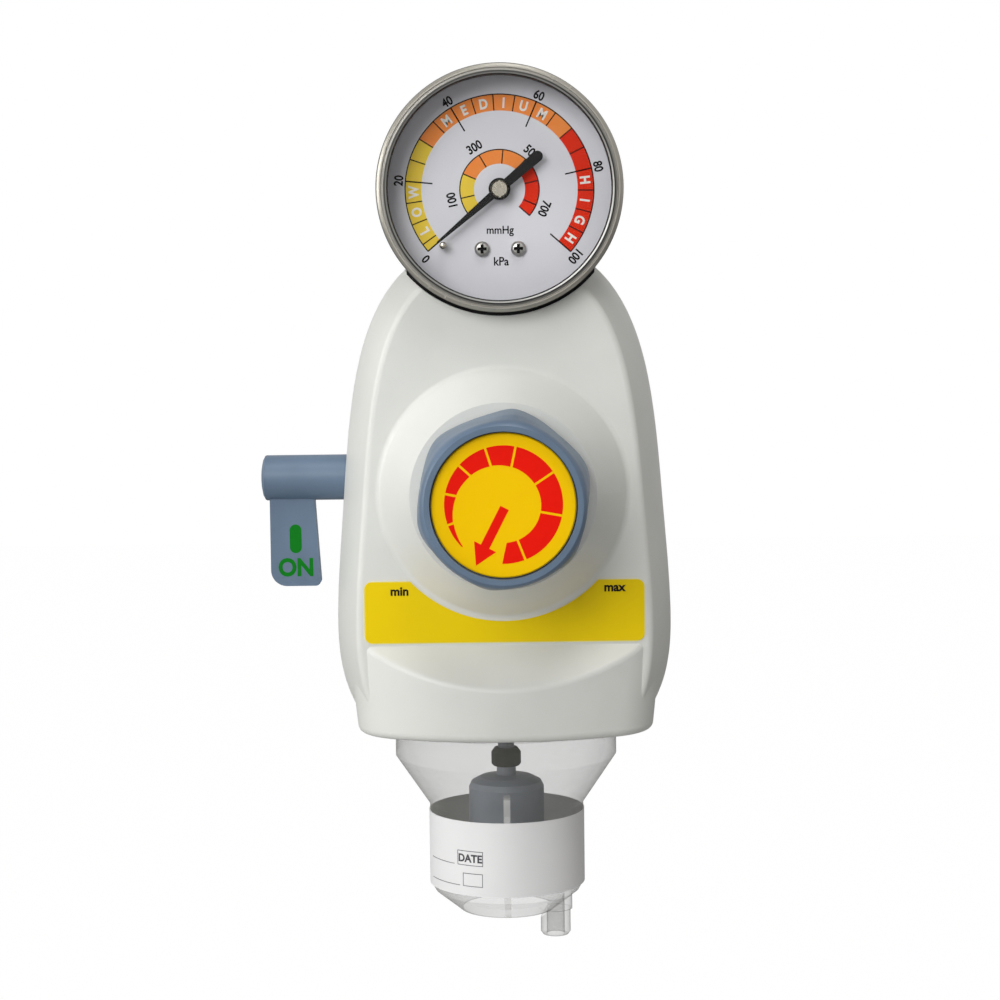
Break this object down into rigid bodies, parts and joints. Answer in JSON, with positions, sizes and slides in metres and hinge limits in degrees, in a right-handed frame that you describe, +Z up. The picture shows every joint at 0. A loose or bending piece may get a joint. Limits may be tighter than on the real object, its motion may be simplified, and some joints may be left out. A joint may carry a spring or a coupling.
{
  "type": "vacuum regulator",
  "caption": "Wall vacuum regulator with a round dial gauge, a lobed control knob, a side shut-off lever and a clear bayonet jar with a float valve.",
  "frame": {"origin": "on the axis of the control knob and supply probe, in the plane of the housing's back face", "axes": "+X to the right of a viewer who faces the dial, +Y towards the wall, along the probe, +Z up"},
  "size_m": [0.11, 0.1156, 0.2294],
  "materials": {
    "housing_plastic": "fine satin",
    "grip_plastic": "satin",
    "yellow_label": "printed film",
    "yellow_disc": "printed disc",
    "paper": "printed label",
    "clear_plastic": "clear moulded plastic",
    "window_glass": "clear flat window",
    "bezel_steel": "turned",
    "case_steel": "matt black",
    "dial_white": "printed dial",
    "pointer_black": "matt",
    "hub_nickel": "plated",
    "brass": "turned",
    "zinc_screw": "plated",
    "steel": "bright",
    "aluminium": "machined",
    "black_rubber": "matt",
    "inner_plastic": "moulded",
    "float_plastic": "moulded"
  },
  "bodies": {
    "housing": {"front_cover": "housing_plastic", "back_cover": "housing_plastic", "cover_screws": "zinc_screw", "front_label": "yellow_label", "valve_body": "aluminium", "fixing_screws": "zinc_screw", "diaphragm": "black_rubber", "bonnet": "aluminium", "bonnet_screws": "zinc_screw", "supply_probe": "brass", "probe_seal": "black_rubber", "trap_head": "inner_plastic", "head_screws": "zinc_screw", "jar_seal": "black_rubber", "stem_gasket": "black_rubber", "gauge_case": "case_steel", "gauge_bezel": "bezel_steel", "window_gasket": "black_rubber", "gauge_window": "window_glass", "gauge_dial": "dial_white", "dial_screws": "zinc_screw", "dial_posts": "brass", "stop_pin": "brass", "gauge_socket": "brass", "bourdon_tube": "brass", "movement_plates": "brass", "movement_pillars": "brass", "control_spring": "steel"},
    "knob": {"knob": "grip_plastic", "knob_disc": "yellow_disc", "adjusting_screw": "brass", "spindle_clip": "steel"},
    "carrier": {"spring_carrier": "brass"},
    "poppet": {"diaphragm_plate": "aluminium", "valve_poppet": "brass", "poppet_pad": "black_rubber"},
    "lever": {"lever_arm": "grip_plastic", "lever_cap": "grip_plastic", "lever_screw": "zinc_screw", "valve_spindle": "brass", "spindle_seals": "black_rubber"},
    "pointer": {"pointer": "pointer_black", "pointer_hub": "hub_nickel", "pinion_shaft": "brass"},
    "sector": {"sector_gear": "brass"},
    "link": {"movement_link": "brass"},
    "float": {"float_body": "float_plastic", "float_stem": "float_plastic", "float_seal": "black_rubber", "stem_clip": "steel"},
    "jar": {"jar": "clear_plastic", "jar_label": "paper"}
  },
  "joints": [
    {"name": "knob_turn", "type": "hinge", "parent": "housing", "child": "knob", "pos_m": [0, -0.075, 0], "axis": [0, 1, 0], "range_deg": [0, 300]},
    {"name": "carrier_travel", "type": "slide", "parent": "housing", "child": "carrier", "axis": [0, 1, 0], "range_m": [0, 0.00334], "deforming": ["control_spring"]},
    {"name": "poppet_travel", "type": "slide", "parent": "housing", "child": "poppet", "axis": [0, 1, 0], "range_m": [0, 0.0008], "stiffness_N_per_m": 600, "springref_m": -0.0005, "deforming": ["diaphragm"]},
    {"name": "lever_turn", "type": "hinge", "parent": "housing", "child": "lever", "pos_m": [-0.045, -0.018, 0.0022], "axis": [-1, 0, 0], "range_deg": [0, 180]},
    {"name": "pointer_turn", "type": "hinge", "parent": "housing", "child": "pointer", "pos_m": [0, -0.04, 0.0775], "axis": [0, 1, 0], "range_deg": [0, 261.6], "stiffness_Nm_per_rad": 0.0002, "springref_deg": -17.19, "deforming": ["bourdon_tube"]},
    {"name": "sector_turn", "type": "hinge", "parent": "housing", "child": "sector", "pos_m": [-0.016, -0.037, 0.0775], "axis": [0, 1, 0], "range_deg": [-37.6, 0]},
    {"name": "link_turn", "type": "hinge", "parent": "sector", "child": "link", "pos_m": [-0.02002, -0.037, 0.07627], "axis": [0, 1, 0], "range_deg": [0, 37.6]},
    {"name": "float_rise", "type": "slide", "parent": "housing", "child": "float", "axis": [0, 0, 1], "range_m": [0, 0.0044]},
    {"name": "jar_turn", "type": "hinge", "parent": "housing", "child": "jar", "pos_m": [0, -0.0305, -0.07], "axis": [0, 0, 1], "range_deg": [0, 60]}
  ],
  "couplings": [
    {"joint": "carrier_travel", "follows": "knob_turn", "m_per_rad": 0.00063662},
    {"joint": "sector_turn", "follows": "pointer_turn", "ratio": -0.14286},
    {"joint": "link_turn", "follows": "pointer_turn", "ratio": 0.14286}
  ]
}
